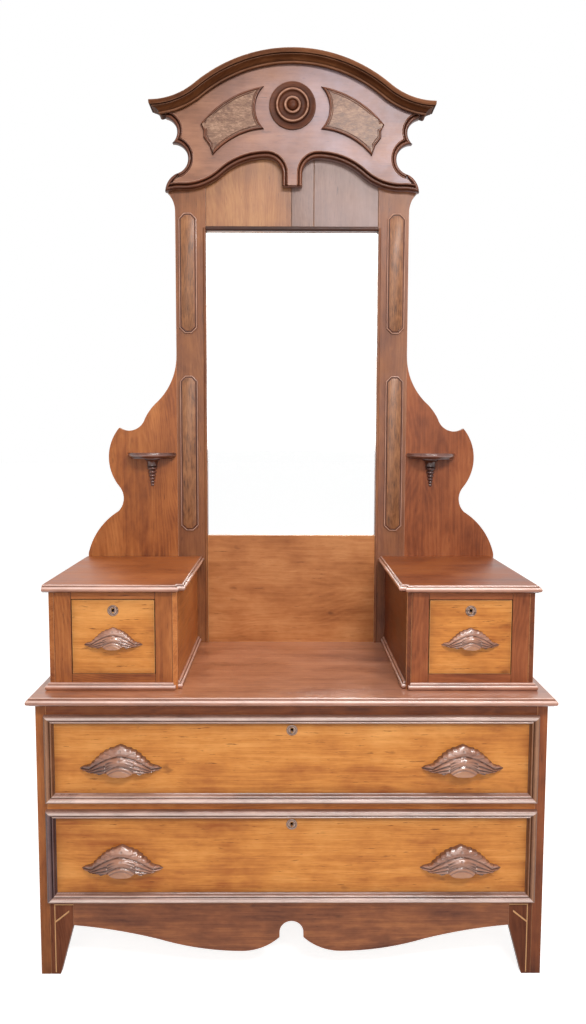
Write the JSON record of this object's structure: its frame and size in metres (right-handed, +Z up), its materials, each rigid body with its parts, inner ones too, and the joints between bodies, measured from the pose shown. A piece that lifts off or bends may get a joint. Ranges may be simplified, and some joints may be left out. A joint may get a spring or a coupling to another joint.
{
  "type": "dresser with mirror",
  "caption": "Drop-well dresser with long drawers, deck boxes with small drawers, candle shelves, a fixed tall mirror between scrolled wings and an arched crest.",
  "frame": {"origin": "bottom centre of the whole piece, on the floor", "axes": "+X to the right seen from the front, +Y from the front to the back, +Z up"},
  "size_m": [1.118, 0.514, 2.114],
  "materials": {
    "cherry": "satin",
    "dark_cherry": "satin",
    "walnut": "gloss",
    "golden_ash": "satin",
    "burl": "satin",
    "pine": "matt",
    "boxwood": "satin",
    "brass": "worn",
    "mirror": "polished"
  },
  "bodies": {
    "case": {"case_side_right": "cherry", "case_side_left": "cherry", "box_top_right": "walnut", "box_top_left": "walnut", "wing_right": "cherry", "wing_left": "cherry", "stile_right": "cherry", "stile_left": "cherry", "main_top": "cherry", "case_back_boards": "pine", "case_front_rails": "cherry", "drawer_runners": "pine", "apron": "dark_cherry", "foot_brackets": "dark_cherry", "foot_inlay": "boxwood", "glue_blocks": "pine", "box_front_frames": "cherry", "box_sides": "cherry", "box_base_mouldings": "walnut", "deck_runners": "pine", "splash_board": "golden_ash", "frieze_boards": "golden_ash", "sight_beads": "walnut", "mirror_glass": "mirror", "mirror_back_board": "pine", "frame_rails": "pine", "stile_tablets": "burl", "candle_shelves": "walnut", "shelf_drops": "walnut", "crest_board": "cherry", "crest_edge_moulding": "walnut", "crest_cornice": "walnut", "crest_carvings": "burl"},
    "upper_long_drawer": {"upper_long_front": "golden_ash", "upper_long_box": "pine", "upper_long_pulls": "walnut", "upper_long_escutcheon": "brass", "upper_long_lock": "brass", "upper_long_moulding": "walnut"},
    "upper_long_bolt": {"upper_long_bolt": "brass"},
    "lower_long_drawer": {"lower_long_front": "golden_ash", "lower_long_box": "pine", "lower_long_pulls": "walnut", "lower_long_escutcheon": "brass", "lower_long_lock": "brass", "lower_long_moulding": "walnut"},
    "lower_long_bolt": {"lower_long_bolt": "brass"},
    "right_deck_drawer": {"right_deck_front": "golden_ash", "right_deck_box": "pine", "right_deck_pull": "walnut", "right_deck_escutcheon": "brass", "right_deck_lock": "brass"},
    "right_deck_bolt": {"right_deck_bolt": "brass"},
    "left_deck_drawer": {"left_deck_front": "golden_ash", "left_deck_box": "pine", "left_deck_pull": "walnut", "left_deck_escutcheon": "brass", "left_deck_lock": "brass"},
    "left_deck_bolt": {"left_deck_bolt": "brass"}
  },
  "joints": [
    {"name": "upper_long_drawer_slide", "type": "slide", "parent": "case", "child": "upper_long_drawer", "axis": [0, -1, 0], "range_m": [0, 0.32]},
    {"name": "upper_long_lock_bolt_slide", "type": "slide", "parent": "upper_long_drawer", "child": "upper_long_bolt", "axis": [0, 0, 1], "range_m": [0, 0.007]},
    {"name": "lower_long_drawer_slide", "type": "slide", "parent": "case", "child": "lower_long_drawer", "axis": [0, -1, 0], "range_m": [0, 0.32]},
    {"name": "lower_long_lock_bolt_slide", "type": "slide", "parent": "lower_long_drawer", "child": "lower_long_bolt", "axis": [0, 0, 1], "range_m": [0, 0.007]},
    {"name": "right_deck_drawer_slide", "type": "slide", "parent": "case", "child": "right_deck_drawer", "axis": [0, -1, 0], "range_m": [0, 0.3]},
    {"name": "right_deck_lock_bolt_slide", "type": "slide", "parent": "right_deck_drawer", "child": "right_deck_bolt", "axis": [0, 0, 1], "range_m": [0, 0.007]},
    {"name": "left_deck_drawer_slide", "type": "slide", "parent": "case", "child": "left_deck_drawer", "axis": [0, -1, 0], "range_m": [0, 0.3]},
    {"name": "left_deck_lock_bolt_slide", "type": "slide", "parent": "left_deck_drawer", "child": "left_deck_bolt", "axis": [0, 0, 1], "range_m": [0, 0.007]}
  ]
}
